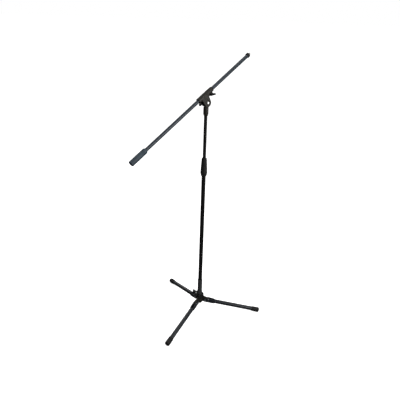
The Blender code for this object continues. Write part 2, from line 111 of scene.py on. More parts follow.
def joint_place(name):
    return Vector(JOINTS[name]["pos_m"]), Vector(JOINTS[name]["axis"])


UP = Vector((0, 0, 1))
MAST = Matrix.Identity(4)
OWN = Matrix.Identity(4)         # a tool shape that is already in its piece's own frame
BOOM_AXIS = Vector(JOINTS["boom_slide"]["axis"])
BOOM = axes_frame(JOINTS["boom_spin"]["pos_m"], BOOM_AXIS, UP)
TILT_POINT, TILT_AXIS = joint_place("boom_tilt")
TILT = axes_frame(TILT_POINT, TILT_AXIS, BOOM_AXIS)        # Z to the bolt head, X along the boom
POST = axes_frame(TILT_POINT, TILT_AXIS, UP)               # Z to the bolt head, X up
CLAMP_SCREW_ALONG = 46 * MM                                # from the clamp's middle, up the boom
SCREW_AXIS = joint_place("clamp_knob_turn")[1]
SCREW = axes_frame(BOOM.translation + BOOM_AXIS * CLAMP_SCREW_ALONG, SCREW_AXIS, BOOM_AXIS)
LOCK_POINT, LOCK_AXIS = joint_place("collar_lock_turn")
LOCK = axes_frame(Vector((0, 0, LOCK_POINT.z)), LOCK_AXIS, UP)


def leg_place(number):
    """At a leg's pivot: Z runs out along the leg, and Y is along the pivot."""
    point, _ = joint_place(f"leg_{number}_fold")
    return axes_frame(point, centre(f"leg_{number}_tube") - point, (0, 0, 1))


def strut_place(number):
    """At a strut's outer pivot, with X along the strut; and the strut's greatest reach."""
    point, axis = joint_place(f"strut_{number}_turn")
    corners = [corner.co - point for corner in NODES[f"leg_{number}_strut"].data.vertices]
    flat = [corner - axis * corner.dot(axis) for corner in corners]
    reach = max(flat, key=lambda corner: corner.length)
    return axes_frame(point, axis, reach), reach.length


# ---------------------------------------------------------------- finishes

class Nodes:
    """Short way to add and link shader nodes in one material."""

    def __init__(self, name):
        self.material = bpy.data.materials.new(name)
        self.material.use_nodes = True
        self.tree = self.material.node_tree
        self.shader = self.tree.nodes["Principled BSDF"]

    def add(self, kind, **settings):
        node = self.tree.nodes.new("ShaderNode" + kind)
        for key, value in settings.items():
            setattr(node, key, value)
        return node

    def link(self, start, end):
        self.tree.links.new(start, end)

    def noise(self, vector, scale, detail=3.0, rough=0.55):
        node = self.add("TexNoise")
        node.inputs["Scale"].default_value = scale
        node.inputs["Detail"].default_value = detail
        node.inputs["Roughness"].default_value = rough
        self.link(vector, node.inputs["Vector"])
        return node.outputs["Fac"]

    def ramp(self, value, low, high, first=0.0, last=1.0):
        node = self.add("MapRange", clamp=True)
        node.inputs["From Min"].default_value = low
        node.inputs["From Max"].default_value = high
        node.inputs["To Min"].default_value = first
        node.inputs["To Max"].default_value = last
        self.link(value, node.inputs["Value"])
        return node.outputs["Result"]

    def times(self, first, second):
        node = self.add("Math", operation="MULTIPLY", use_clamp=True)
        self.link(first, node.inputs[0])
        self.link(second, node.inputs[1])
        return node.outputs["Value"]

    def mix(self, factor, first, second):
        """Colour mix; each side is a socket or an (r, g, b)."""
        node = self.add("Mix", data_type="RGBA")
        self.link(factor, node.inputs["Factor"])
        for socket, value in ((node.inputs[6], first), (node.inputs[7], second)):
            if isinstance(value, tuple):
                socket.default_value = (*value, 1.0)
            else:
                self.link(value, socket)
        return node.outputs[2]

    def mix_value(self, factor, first, second):
        node = self.add("Mix", data_type="FLOAT")
        self.link(factor, node.inputs["Factor"])
        for socket, value in ((node.inputs[2], first), (node.inputs[3], second)):
            if isinstance(value, float):
                socket.default_value = value
            else:
                self.link(value, socket)
        return node.outputs[0]

    def bump(self, height, depth, strength=1.0, under=None):
        node = self.add("Bump")
        node.inputs["Distance"].default_value = depth
        node.inputs["Strength"].default_value = strength
        self.link(height, node.inputs["Height"])
        if under is not None:
            self.link(under, node.inputs["Normal"])
        return node.outputs["Normal"]


def shade(color, factor):
    return tuple(min(1.0, channel * factor) for channel in color)


GRAIN_PLACE = "grain_place"      # a piece's own coordinates, kept on its corners
BROAD_SCALE = 38.0
SMUDGE_SCALE = 95.0
SCRATCH_SCALE = 520.0
PIT_SCALE = 2600.0
SMUDGE_DEPTH = 0.012 * MM
EDGE_STARTS = 0.53               # pointiness where an edge begins to look rubbed
EDGE_RUBBED = 0.575
DUST_COLOR = (0.30, 0.29, 0.27)
DUST_ROUGHNESS = 0.9


def finish(name, color, roughness, metallic=0.0, grain=900.0, grain_depth=0.04, spread=0.08,
           mottle=0.12, wear=0.35, worn=(0.20, 0.20, 0.20), dust=0.0, level=0.5, stretch=None,
           pits=0.0, carried=False):
    """Surface with grain, mottled colour, uneven gloss, rubbed edges, dust and fine scratches.

    Depths are in millimetres. A carried CAD solid has no grain_place: it uses its own frame.
    """
    work = Nodes(name)
    if carried:
        place = work.add("TexCoord").outputs["Object"]
    else:
        place = work.add("Attribute", attribute_name=GRAIN_PLACE).outputs["Vector"]
    if stretch:
        mapping = work.add("Mapping")
        mapping.inputs["Scale"].default_value = stretch
        work.link(place, mapping.inputs["Vector"])
        lined = mapping.outputs["Vector"]
    else:
        lined = place
    fine = work.noise(lined, grain, 2.0)
    broad = work.noise(place, BROAD_SCALE, 4.0)
    smudge = work.noise(place, SMUDGE_SCALE, 5.0, 0.65)
    colour = work.mix(work.ramp(broad, 0.3, 0.7), shade(color, 1 - mottle),
                      shade(color, 1 + mottle))
    edge = work.ramp(work.add("NewGeometry").outputs["Pointiness"], EDGE_STARTS, EDGE_RUBBED)
    patchy = work.ramp(smudge, 0.42, 0.62)
    rubbed = work.times(edge, work.ramp(patchy, 0.0, 1.0, 0.25 * wear, wear))
    colour = work.mix(rubbed, colour, worn)
    gloss = work.mix_value(work.ramp(smudge, 0.3, 0.7), max(0.05, roughness - spread),
                           min(1.0, roughness + spread))
    scratch_map = work.add("Mapping")
    scratch_map.inputs["Scale"].default_value = (1.0, 1.0, 0.06)
    scratch_map.inputs["Rotation"].default_value = (0.35, 0.2, 0.6)
    work.link(place, scratch_map.inputs["Vector"])
    scratch = work.noise(scratch_map.outputs["Vector"], SCRATCH_SCALE, 1.0)
    scratch = work.ramp(scratch, 0.70, 0.76)
    scratch = work.times(scratch, work.ramp(broad, 0.45, 0.65))
    gloss = work.mix_value(scratch, gloss, min(1.0, roughness + 0.25))
    if dust:
        facing = work.add("NewGeometry").outputs["Normal"]
        split = work.add("SeparateXYZ")
        work.link(facing, split.inputs[0])
        settled = work.times(work.ramp(split.outputs["Z"], 0.35, 1.0, 0.0, dust), patchy)
        colour = work.mix(settled, colour, DUST_COLOR)
        gloss = work.mix_value(settled, gloss, DUST_ROUGHNESS)
    normal = work.bump(fine, grain_depth * MM)
    if pits:
        dots = work.ramp(work.noise(place, PIT_SCALE, 1.0), 0.55, 0.75)
        normal = work.bump(dots, pits * MM, 0.6, normal)
    normal = work.bump(smudge, SMUDGE_DEPTH, 0.3, normal)
    work.link(colour, work.shader.inputs["Base Color"])
    work.link(gloss, work.shader.inputs["Roughness"])
    work.link(normal, work.shader.inputs["Normal"])
    work.shader.inputs["Metallic"].default_value = metallic
    work.shader.inputs["Specular IOR Level"].default_value = level
    return work.material


BRUSHED = (1.0, 1.0, 0.05)
FINISHES = {
    "mast_paint": dict(color=(0.005, 0.005, 0.005), roughness=0.34, wear=0.25, grain=1100,
                       grain_depth=0.035, dust=0.01, spread=0.05, mottle=0.08, level=0.16),
    # boom_paint is the mast's black paint drawn lighter and bluish: painted top light and painted
    # sky reflection on the upward-facing boom
    "boom_paint": dict(color=(0.021, 0.031, 0.043), roughness=0.34, wear=0.25, grain=1100,
                       grain_depth=0.035, dust=0.008, spread=0.05, mottle=0.08, level=0.38),
    # the legs' paint and their brackets' casting are the black paint drawn a little lighter and
    # bluish: painted top light and painted blue highlight
    "leg_paint": dict(color=(0.0125, 0.0150, 0.0190), roughness=0.33, wear=0.3, grain=1100,
                      grain_depth=0.035, dust=0.004, spread=0.05, mottle=0.08, level=0.26),
    "leg_cast_and_sheen": dict(color=(0.0120, 0.0145, 0.0185), roughness=0.42, grain=700,
                     grain_depth=0.08, wear=0.5, worn=(0.13, 0.13, 0.14), pits=0.04, level=0.3),
    "cast_metal": dict(color=(0.017, 0.015, 0.011), roughness=0.46, grain=700,
                       grain_depth=0.09, wear=0.6, worn=(0.16, 0.15, 0.13), pits=0.04,
                       level=0.3),
    "collar_metal": dict(color=(0.036, 0.036, 0.037), roughness=0.42, grain=700,
                         grain_depth=0.08, wear=0.6, worn=(0.24, 0.24, 0.23), pits=0.04,
                         level=0.45),
    "black_plastic": dict(color=(0.008, 0.008, 0.008), roughness=0.50, grain=2200,
                          grain_depth=0.05, wear=0.3, worn=(0.04, 0.04, 0.04), level=0.3),
    "rubber": dict(color=(0.010, 0.010, 0.010), roughness=0.72, grain=1500,
                   grain_depth=0.07, wear=0.35, worn=(0.05, 0.05, 0.05), dust=0.03,
                   mottle=0.2, level=0.25),
    "grip_rubber": dict(color=(0.008, 0.008, 0.008), roughness=0.62, grain=1500,
                        grain_depth=0.07, wear=0.45, worn=(0.06, 0.06, 0.06), mottle=0.3,
                        level=0.3),
    # the counterweight's dark rubber with a painted blue reflection mixed into its colour
    "weight_rubber_and_blue_sheen": dict(color=(0.036, 0.056, 0.074), roughness=0.55, grain=1500,
                          grain_depth=0.06, wear=0.4, worn=(0.07, 0.08, 0.085), mottle=0.2,
                          level=0.4),
    "zinc_steel": dict(color=(0.30, 0.31, 0.32), roughness=0.36, metallic=1.0, grain=1400,
                       grain_depth=0.02, wear=0.5, worn=(0.55, 0.55, 0.55), stretch=BRUSHED),
    "chrome": dict(color=(0.92, 0.91, 0.88), roughness=0.26, metallic=1.0, grain=500,
                   grain_depth=0.006, spread=0.06, mottle=0.04, wear=0.3,
                   worn=(0.9, 0.9, 0.9)),
    "brass": dict(color=(0.62, 0.45, 0.20), roughness=0.32, metallic=1.0, grain=1600,
                  grain_depth=0.02, wear=0.4, worn=(0.8, 0.65, 0.35), stretch=BRUSHED),
    "white_nylon": dict(color=(0.62, 0.61, 0.56), roughness=0.48, grain=1200,
                        grain_depth=0.02, wear=0.3, worn=(0.75, 0.74, 0.7), mottle=0.08),
}
LOOKS = {}


def find_look(name, carried=False):
    """A finish's material, made once for the pieces and once for the carried CAD solids."""
    key = name + ("_cad" if carried else "")
    if key not in LOOKS:
        LOOKS[key] = finish(key, carried=carried, **FINISHES[name])
    return LOOKS[key]


SLOT_LOOKS = {part["node"]: part["material_slot"] for part in RECORD["subparts"]}


# ---------------------------------------------------------------- shapes

def fillet(outline, radius, steps=5, closed=True):
    """Rounds an outline's corners; radius is one number, or one for each corner."""
    count = len(outline)
    radii = radius if isinstance(radius, (list, tuple)) else [radius] * count
    points = []
    for index, corner in enumerate(outline):
        here = Vector(corner)
        inner = 0 < index < count - 1
        if radii[index] <= 0 or not (closed or inner):
            points.append(here)
            continue
        before = Vector(outline[index - 1]) - here
        after = Vector(outline[(index + 1) % count]) - here
        turn = before.angle(after, math.pi)
        if turn > math.radians(175):
            points.append(here)
            continue
        room = 0.45 * min(before.length, after.length)
        back = min(room, radii[index] / math.tan(turn / 2))
        start = here + before.normalized() * back
        end = here + after.normalized() * back
        for step in range(steps + 1):
            t = step / steps
            points.append(start.lerp(here, t).lerp(here.lerp(end, t), t))
    return [(point.x, point.y) for point in points]


def refine(outline, longest):
    """Adds points so that no stretch of an open outline is longer than that."""
    points = [outline[0]]
    for first, second in zip(outline, outline[1:]):
        first = Vector(first)
        second = Vector(second)
        parts = max(1, math.ceil((second - first).length / longest))
        for part in range(1, parts + 1):
            step = first.lerp(second, part / parts)
            points.append((step.x, step.y))
    return points


ON_AXIS = 1e-7                   # a smaller radius is a point on the axis


def turned_mesh(name, outline, facets=FINE, closed=True, relief=None):
    """Mesh turned about Z from (radius, height) pairs; relief may give a corner a new radius."""
    shape = bmesh.new()
    rings = []
    for radius, height in outline:
        if radius < ON_AXIS:
            rings.append([shape.verts.new((0, 0, height))])
            continue
        ring = []
        for step in range(facets):
            angle = math.tau * step / facets
            reach = relief(angle, radius, height) if relief else radius
            ring.append(shape.verts.new((reach * math.cos(angle), reach * math.sin(angle),
                                         height)))
        rings.append(ring)
    pairs = list(zip(rings, rings[1:]))
    if closed:
        pairs.append((rings[-1], rings[0]))
    for first, second in pairs:
        for step in range(facets):
            after = (step + 1) % facets
            corners = [first[step % len(first)], first[after % len(first)],
                       second[after % len(second)], second[step % len(second)]]
            unique = list(dict.fromkeys(corners))
            if len(unique) > 2:
                shape.faces.new(unique)
    bmesh.ops.recalc_face_normals(shape, faces=shape.faces)
    mesh = bpy.data.meshes.new(name)
    shape.to_mesh(mesh)
    shape.free()
    mesh.shade_smooth()
    mesh.set_sharp_from_angle(angle=math.radians(50))
    return mesh


def ring_outline(outer, inner, low, high):
    return [(outer, high), (outer, low), (inner, low), (inner, high)]


def solid_outline(radius, low, high):
    return [(0, high), (radius, high), (radius, low), (0, low)]


def tangent(first, second):
    """Angle, from both centres, of the points where a band leaves one circle and meets the next."""
    across = second[0] - first[0]
    up = second[1] - first[1]
    return math.atan2(up, across) - math.acos((first[2] - second[2]) / math.hypot(across, up))


def wrap(circles, steps=20):
    """Outline of a band stretched round circles given as (x, y, radius), counter-clockwise."""
    points = []
    for index, (x, y, radius) in enumerate(circles):
        start = tangent(circles[index - 1], circles[index])
        end = tangent(circles[index], circles[(index + 1) % len(circles)])
        while end < start:
            end += math.tau
        for step in range(steps + 1):
            angle = start + (end - start) * step / steps
            points.append((x + radius * math.cos(angle), y + radius * math.sin(angle)))
    return points


def prism_mesh(name, outline, low, high):
    """Plate with an outline in X and Y, between two heights in Z."""
    shape = bmesh.new()
    base = [shape.verts.new((x, y, low)) for x, y in outline]
    face = shape.faces.new(base)
    grown = bmesh.ops.extrude_face_region(shape, geom=[face])["geom"]
    moved = [item for item in grown if isinstance(item, bmesh.types.BMVert)]
    bmesh.ops.translate(shape, verts=moved, vec=(0, 0, high - low))
    bmesh.ops.recalc_face_normals(shape, faces=shape.faces)
    mesh = bpy.data.meshes.new(name)
    shape.to_mesh(mesh)
    shape.free()
    return mesh


def box_mesh(name, low, high):
    outline = [(low[0], low[1]), (high[0], low[1]), (high[0], high[1]), (low[0], high[1])]
    return prism_mesh(name, outline, low[2], high[2])


def helper(mesh, place):
    item = bpy.data.objects.new(mesh.name, mesh)
    item.matrix_world = place
    bpy.context.scene.collection.objects.link(item)
    return item


def settle(item, name):
    """The object's shape after its modifiers, as a new mesh; the object goes away."""
    bpy.context.view_layer.update()
    ready = item.evaluated_get(bpy.context.evaluated_depsgraph_get())
    mesh = bpy.data.meshes.new_from_object(ready)
    mesh.name = name
    bpy.data.objects.remove(item)
    return mesh


def merge(name, start, steps):
    """Joins to a mesh, or cuts from it, other meshes: steps are (operation, mesh, place)."""
    item = helper(start, OWN)
    others = []
    for operation, mesh, where in steps:
        other = helper(mesh, where)
        others.append(other)
        change = item.modifiers.new("change", "BOOLEAN")
        change.operation = operation
        change.solver = "EXACT"
        change.object = other
    mesh = settle(item, name)
    for other in others:
        bpy.data.objects.remove(other)
    return mesh


VOXEL = 0.5 * MM
KNOB_VOXEL = 0.4 * MM


def soften(mesh, passes, keep, voxel=VOXEL):
    """Remeshes a cut and joined body, and rounds its edges and corners as a casting's are."""
    item = helper(mesh, OWN)
    grid = item.modifiers.new("grid", "REMESH")
    grid.mode = "VOXEL"
    grid.voxel_size = voxel
    relax = item.modifiers.new("relax", "SMOOTH")
    relax.factor = 0.5
    relax.iterations = passes
    fewer = item.modifiers.new("fewer", "DECIMATE")
    fewer.ratio = keep
    soft = settle(item, mesh.name)
    soft.shade_smooth()
    return soft


def smooth_with_creases(mesh):
    mesh.shade_smooth()
    mesh.set_sharp_from_angle(angle=math.radians(40))


def round_edges(mesh, width):
    item = helper(mesh, OWN)
    bevel = item.modifiers.new("bevel", "BEVEL")
    bevel.width = width
    bevel.segments = 3
    bevel.limit_method = "ANGLE"
    bevel.angle_limit = math.radians(30)
    rounded = settle(item, mesh.name)
    smooth_with_creases(rounded)
    return rounded


def place_piece(name, mesh, place, body, nodes, look=None):
    """Adds a finished piece that rides on a body and stands for CAD nodes."""
    mesh = mesh.copy()
    grain = mesh.attributes.new(GRAIN_PLACE, "FLOAT_VECTOR", "POINT")
    for index, corner in enumerate(mesh.vertices):
        grain.data[index].vector = corner.co
    mesh.transform(place)
    item = bpy.data.objects.new(name, mesh)
    bpy.context.scene.collection.objects.link(item)
    slot = SLOT_LOOKS[nodes[0]]
    mesh.materials.clear()
    mesh.materials.append(find_look(look or slot))
    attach(item, body)
    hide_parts(*nodes)
    return item


def thread_relief(pitch, depth, low, high):
    """A screw thread's ridges between two heights, fading out at both ends."""
    def relief(angle, radius, height):
        fade = min(1.0, max(0.0, (height - low) / pitch), max(0.0, (high - height) / pitch))
        phase = (height / pitch + angle / math.tau) % 1.0
        ridge = abs(2 * phase - 1)
        return radius - depth * ridge * fade
    return relief


WING_SCREW_PITCH = 1.0 * MM
WING_SCREW_DEPTH = 0.45 * MM
WING_SCREW_BEVEL = 0.6 * MM
RINGS_PER_PITCH = 8


def wing_screw_piece(name, node, place, body):
    """The threaded shank of a wing screw."""
    low, high = span(node, place)
    radius = widest(node, place)
    start = low + WING_SCREW_BEVEL
    end = high - WING_SCREW_BEVEL
    point = radius - WING_SCREW_BEVEL
    outline = [(0, high), (point, high), (radius, end), (radius, start), (point, low), (0, low)]
    outline = refine(outline, WING_SCREW_PITCH / RINGS_PER_PITCH)
    relief = thread_relief(WING_SCREW_PITCH, WING_SCREW_DEPTH, start, end)
    screw = turned_mesh("screw", outline, SMALL, closed=False, relief=relief)
    place_piece(name, screw, place, body, [node])


def tube_piece(name, node, place, body):
    """A steel tube with rolled ends, as long and as wide as its CAD node."""
    low, high = span(node, place)
    outer = widest(node, place)
    inner = narrowest(node, place)
    outline = fillet(ring_outline(outer, inner, low, high), 0.35 * MM, 3)
    place_piece(name, turned_mesh(name, outline), place, body, [node])


# ---------------------------------------------------------------- base

HUB_RADIUS = 16 * MM
HUB_TONGUE = 10 * MM
FORK_END = 57 * MM
PLUG_END = 90 * MM
PIN_HOLE = 2.8 * MM
CHANNEL = 10.8 * MM
BRACKET_WIDTH = 20 * MM
STRUT_WIDTH = 9 * MM
LUG_HALF_WIDTH = 8.6 * MM
LUG_SLOT = 9.6 * MM
COLLAR_PIVOT = Vector((19 * MM, 0, 98 * MM))
LEG_PIVOT = Vector((30 * MM, 0, 78 * MM))
LEG_TURNS = [Matrix.Rotation(math.radians(120 * (number - 1)), 4, "Z") for number in LEGS]
STRUT_PIN = (8 * MM, 18 * MM)                        # up from the leg's axis, and out along it
FLAT = Matrix.Rotation(math.pi / 2, 4, "X")          # an outline's Y becomes the frame's Z


def upright(outline, name, half):
    """Plate in a frame's X and Z, centred on its Y = 0."""
    return prism_mesh(name, outline, -half, half)


def across(point):
    """Place of a plate or a pin that runs along Y through a point."""
    return Matrix.Translation(point) @ FLAT


def round_bar(name, radius, low, high, facets=SMALL):
    """Plain bar about Z, to join to or cut from a casting."""
    return turned_mesh(name, solid_outline(radius, low, high), facets, closed=False)


def build_hub():
    low, high = span("base_hub", MAST)
    outline = fillet(solid_outline(HUB_RADIUS, low, high), 1.6 * MM, closed=False)
    tongue = wrap(((13 * MM, 77 * MM, 9.5 * MM), (LEG_PIVOT.x, LEG_PIVOT.z, 7 * MM)))
    steps = []
    for turn in LEG_TURNS:
        steps.append(("UNION", upright(tongue, "tongue", HUB_TONGUE / 2), turn @ FLAT))
    for turn in LEG_TURNS:
        steps.append(("DIFFERENCE", round_bar("hole", PIN_HOLE, -8 * MM, 8 * MM),
                      turn @ across(LEG_PIVOT)))
    socket = narrowest("base_hub", MAST, high - MM)
    steps.append(("DIFFERENCE", round_bar("socket", socket, low + 4 * MM, high + MM, FINE), MAST))
    hub = merge("hub", turned_mesh("hub_body", outline, FINE, closed=False), steps)
    place_piece("hub_casting", soften(hub, 4, 0.6), MAST, "base", ["base_hub"])
    low, high = span("hub_bottom_cap", MAST)
    edge = widest("hub_bottom_cap", MAST)
    rim = [(0, high), (edge - 1.2 * MM, high), (edge, high - 1.7 * MM), (edge, low),
           (edge - 4 * MM, low), (edge - 4.6 * MM, low + 0.8 * MM), (0, low + 0.8 * MM)]
    cap = turned_mesh("cap", fillet(rim, 0.6 * MM, closed=False), FINE, closed=False)
    place_piece("hub_cap", cap, MAST, "base", ["hub_bottom_cap"])


def rivet_mesh(half_width):
    """Headed pin about Z, domed at both ends, as long as the CAD pin."""
    lip = half_width + GAP
    edge = lip + 0.2 * MM
    rise = 1.2 * MM
    head = 4.2 * MM
    shank = 2.5 * MM
    angles = [step * math.pi / 16 for step in range(9)]
    dome = [(head * math.sin(angle), edge + rise * math.cos(angle)) for angle in angles]
    side = dome + [(head, lip), (shank, lip)]
    mirrored = [(radius, -height) for radius, height in reversed(side)]
    return turned_mesh("rivet", side + mirrored, SMALL, closed=False)


def build_collar():
    low, high = span("base_collar", MAST)
    neck = 12.4 * MM
    flare = widest("base_collar", MAST, low - MM, low + MM)
    bore = narrowest("base_collar", MAST, high - MM)
    outline = [(0, high), (neck, high), (neck, low + 26 * MM), (flare, low + 6 * MM),
               (flare, low), (0, low)]
    radii = [0, 1.2 * MM, 9 * MM, 6 * MM, 0.6 * MM, 0]
    body = turned_mesh("collar_body", fillet(outline, radii, closed=False), FINE, closed=False)
    boss = fillet(solid_outline(5.6 * MM, 5 * MM, 18.5 * MM), [0, 0.9 * MM, 0, 0], closed=False)
    steps = [
        ("UNION", turned_mesh("boss", boss, SMALL, closed=False), LOCK),
        ("DIFFERENCE", round_bar("bore", bore, low - MM, high + MM, FINE), MAST),
        ("DIFFERENCE", round_bar("screw_hole", 3.2 * MM, 5 * MM, 20 * MM), LOCK),
    ]
    collar = soften(merge("collar", body, steps), 4, 0.5)
    place_piece("collar_casting", collar, MAST, "collar", ["base_collar"], "collar_metal")
    build_lug_ring(bore)


def build_lug_ring(bore):
    low, high = span("collar_lug_ring", MAST)
    ring = fillet(solid_outline(15.5 * MM, low, high), 0.8 * MM, closed=False)
    corner = 5 * MM
    lower = low + corner
    upper = high - 5.5 * MM
    side = wrap(((17.5 * MM, lower, corner), (17.5 * MM, upper, corner),
                 (13.5 * MM, upper, corner), (13.5 * MM, lower, corner)), 8)
    rivet_reach = LUG_HALF_WIDTH + 0.8 * MM
    steps = []
    for turn in LEG_TURNS:
        steps.append(("UNION", upright(side, "lug", LUG_HALF_WIDTH), turn @ FLAT))
        steps.append(("UNION", round_bar("rivet_end", 2.6 * MM, -rivet_reach, rivet_reach),
                      turn @ across(COLLAR_PIVOT)))
    for turn in LEG_TURNS:
        slot = box_mesh("slot", (12.5 * MM, -LUG_SLOT / 2, low - 8 * MM),
                        (30 * MM, LUG_SLOT / 2, high + 5 * MM))
        steps.append(("DIFFERENCE", slot, turn))
    steps.append(("DIFFERENCE", round_bar("bore", bore, low - MM, high + MM, FINE), MAST))
    lugs = merge("lugs", turned_mesh("ring", ring, FINE, closed=False), steps)
    place_piece("collar_lugs", soften(lugs, 3, 0.5), MAST, "collar", ["collar_lug_ring"])


KNOB_BORE = 3.3 * MM


def wing_knob(name, node, place, body, hub, height, reach, thickness, depth, bore=KNOB_BORE):
    """Moulded hub with two flared wings; place's Z is the screw's axis and X lies in the wings."""
    start = span(node, place)[0]
    top = start + height
    profile = [(0, top), (hub * 0.75, top), (hub, start + height / 2), (hub, start), (0, start)]
    body_mesh = turned_mesh("knob_hub", fillet(profile, 1.4 * MM, closed=False), SMALL,
                            closed=False)
    tip = height * 0.28
    rise = top - tip
    wings = wrap(((0, start + height * 0.35, height * 0.3), (reach - tip, rise, tip),
                  (tip - reach, rise, tip)))
    scoop = round_bar("scoop", height * 0.42, -thickness * 2, thickness * 2)
    blade = merge("wings", upright(wings, "blade", thickness / 2),
                  [("DIFFERENCE", scoop, Matrix.Translation((0, top + height * 0.16, 0)))])
    steps = [
        ("UNION", blade, FLAT),
        ("DIFFERENCE", round_bar("bore", bore, start - MM, start + depth), OWN),
    ]
    knob = soften(merge("knob", body_mesh, steps), 5, 0.5, KNOB_VOXEL)
    place_piece(name, knob, place, body, [node])


def build_lock_screw():
    wing_screw_piece("collar_screw", "collar_lock_screw", LOCK, "lock_knob")
    wing_knob("collar_wing_knob", "collar_lock_knob", LOCK, "lock_knob", hub=6.5 * MM,
              height=18 * MM, reach=14 * MM, thickness=5 * MM, depth=14 * MM)


def bracket_mesh():
    """Channel bracket in a leg's frame: Z out along the leg, X upwards, Y along the pivot."""
    side = wrap(((0, 0, 10 * MM), (*STRUT_PIN, 5.2 * MM), (0, FORK_END - 8 * MM, 10.4 * MM)))
    collar = 11 * MM
    shoulder = 59.7 * MM
    plug = 9.2 * MM
    neck = fillet([(0, PLUG_END), (plug - MM, PLUG_END), (plug, PLUG_END - MM), (plug, shoulder),
                   (collar, shoulder), (collar, FORK_END - 7 * MM), (0, FORK_END - 11 * MM)],
                  [0, 0.5 * MM, 0, 0, 0.6 * MM, 2 * MM, 0], closed=False)
    channel = box_mesh("channel", (-20 * MM, -CHANNEL / 2, -15 * MM),
                       (30 * MM, CHANNEL / 2, 24.2 * MM))
    bay = box_mesh("strut_bay", (-6 * MM, -CHANNEL / 2, 20 * MM),
                   (30 * MM, CHANNEL / 2, FORK_END))
    steps = [("UNION", turned_mesh("plug", neck, FINE, closed=False), OWN),
             ("DIFFERENCE", channel, OWN), ("DIFFERENCE", bay, OWN)]
    for x, z in ((0, 0), STRUT_PIN):
        steps.append(("DIFFERENCE", round_bar("hole", PIN_HOLE, -12 * MM, 12 * MM),
                      across((x, 0, z))))
    cheeks = upright(side, "cheeks", BRACKET_WIDTH / 2)
    cheeks.transform(FLAT)
    return soften(merge("bracket", cheeks, steps), 4, 0.5)


def strut_mesh(length):
    """Flat link from its outer pivot at the origin to its inner end at X = length."""
    outline = wrap(((0, 0, 4.1 * MM), (length, 0, 4 * MM)))
    hole = round_bar("hole", PIN_HOLE, -6 * MM, 6 * MM)
    body = prism_mesh("strut", outline, -STRUT_WIDTH / 2, STRUT_WIDTH / 2)
    return round_edges(merge("strut", body, [("DIFFERENCE", hole, OWN)]), 0.7 * MM)


FOOT_RINGS = (5, 8, 11)          # heights of the grooves, in millimetres from the foot's mouth


def foot_mesh(node, place):
    """Rubber foot over a tube's end, flat where it meets the floor."""
    low, high = span(node, place)
    outer = widest(node, place)
    mouth = 12.8 * MM
    bore = 11.3 * MM
    step = high - 5.9 * MM
    outline = [(0, high), (8.5 * MM, high), (11.8 * MM, high - 1.5 * MM), (outer, high - 5 * MM),
               (outer, high - 22 * MM), (mouth, low), (bore, low), (bore, step), (0, step)]
    radii = [0, 1.5 * MM, 2 * MM, 3 * MM, 8 * MM, 0.8 * MM, 0.3 * MM, 0, 0]
    outline = refine(fillet(outline, radii, closed=False), 0.5 * MM)

    def ribs(angle, radius, height):
        """Three shallow grooves round the foot's mouth."""
        if radius < mouth - 0.4 * MM:
            return radius
        groove = 0.0
        for ring in FOOT_RINGS:
            groove += max(0.0, 1 - abs(height - low - ring * MM) / (0.8 * MM))
        return radius - 0.45 * MM * min(1.0, groove)

    mesh = turned_mesh("foot", outline, FINE, closed=False, relief=ribs)
    for corner in mesh.vertices:
        world = place @ corner.co
        if world.z < 0:
            world.z = 0
            corner.co = place.inverted() @ world
    return mesh


def build_legs():
    bracket = bracket_mesh()
    rivet = rivet_mesh(BRACKET_WIDTH / 2)
    for number in LEGS:
        place = leg_place(number)
        body = f"leg_{number}"
        tube_piece(f"leg_{number}_steel_tube", f"leg_{number}_tube", place, body)
        # the brackets' finish carries the legs' painted top light and blue highlight over their
        # dark cast colour
        place_piece(f"leg_{number}_casting", bracket, place, body, [f"leg_{number}_bracket"],
                    "leg_cast_and_sheen")
        foot = foot_mesh(f"leg_{number}_foot", place)
        place_piece(f"leg_{number}_rubber_foot", foot, place, body, [f"leg_{number}_foot"])
        strut_at, length = strut_place(number)
        place_piece(f"leg_{number}_link", strut_mesh(length), strut_at, f"strut_{number}",
                    [f"leg_{number}_strut"])
        place_piece(f"leg_{number}_outer_rivet", rivet, strut_at, body,
                    [f"leg_{number}_strut_pin"])
        hub_pin = axes_frame(*joint_place(f"leg_{number}_fold"), (0, 0, 1))
        place_piece(f"leg_{number}_inner_rivet", rivet, hub_pin, "base",
                    [f"leg_{number}_hub_pin"])


# ---------------------------------------------------------------- mast

def build_mast():
    tube_piece("lower_steel_tube", "mast_lower_tube", MAST, "base")
    tube_piece("upper_steel_tube", "mast_upper_tube", MAST, "mast_top")


GRIP_SHOULDER = 880 * MM         # where the grip's bore narrows towards the upper tube
GRIP_NARROW = 886 * MM
FLUTES = 18


def build_grip():
    """Height clutch grip: a tapered rubber barrel with shallow flutes."""
    low, high = span("height_clutch_grip", MAST)
    hole = narrowest("height_clutch_grip", MAST, high - 2 * MM)
    inside = narrowest("height_clutch_grip", MAST, low - MM, low + MM)
    outline = [(hole, high), (12.4 * MM, high - MM), (13.3 * MM, high - 9 * MM),
               (16.8 * MM, low + 22 * MM), (17 * MM, low + 15 * MM), (13.8 * MM, low),
               (inside, low), (inside, GRIP_SHOULDER), (hole, GRIP_NARROW)]
    radii = [0.4 * MM, 3.2 * MM, 4 * MM, 6 * MM, 5 * MM, 0.6 * MM, 0.3 * MM, 0, 0]
    outline = refine(fillet(outline, radii), 0.8 * MM)

    def flutes(angle, radius, height):
        if radius < inside + MM:
            return radius
        ends = min(1.0, (high - 7 * MM - height) / (5 * MM), (height - low - 15 * MM) / (5 * MM))
        wave = 0.5 - 0.5 * math.cos(angle * FLUTES)
        return radius - 0.55 * MM * max(0.0, ends) * wave ** 2

    mesh = turned_mesh("grip", outline, 16 * FLUTES, relief=flutes)
    place_piece("clutch_grip", mesh, MAST, "grip", ["height_clutch_grip"], "grip_rubber")


SLEEVE_TOP = 1138 * MM           # the swivel post's round part ends here, and its eye begins
SOCKET_TOP = 1130 * MM
BOLT_HOLE = 4.3 * MM


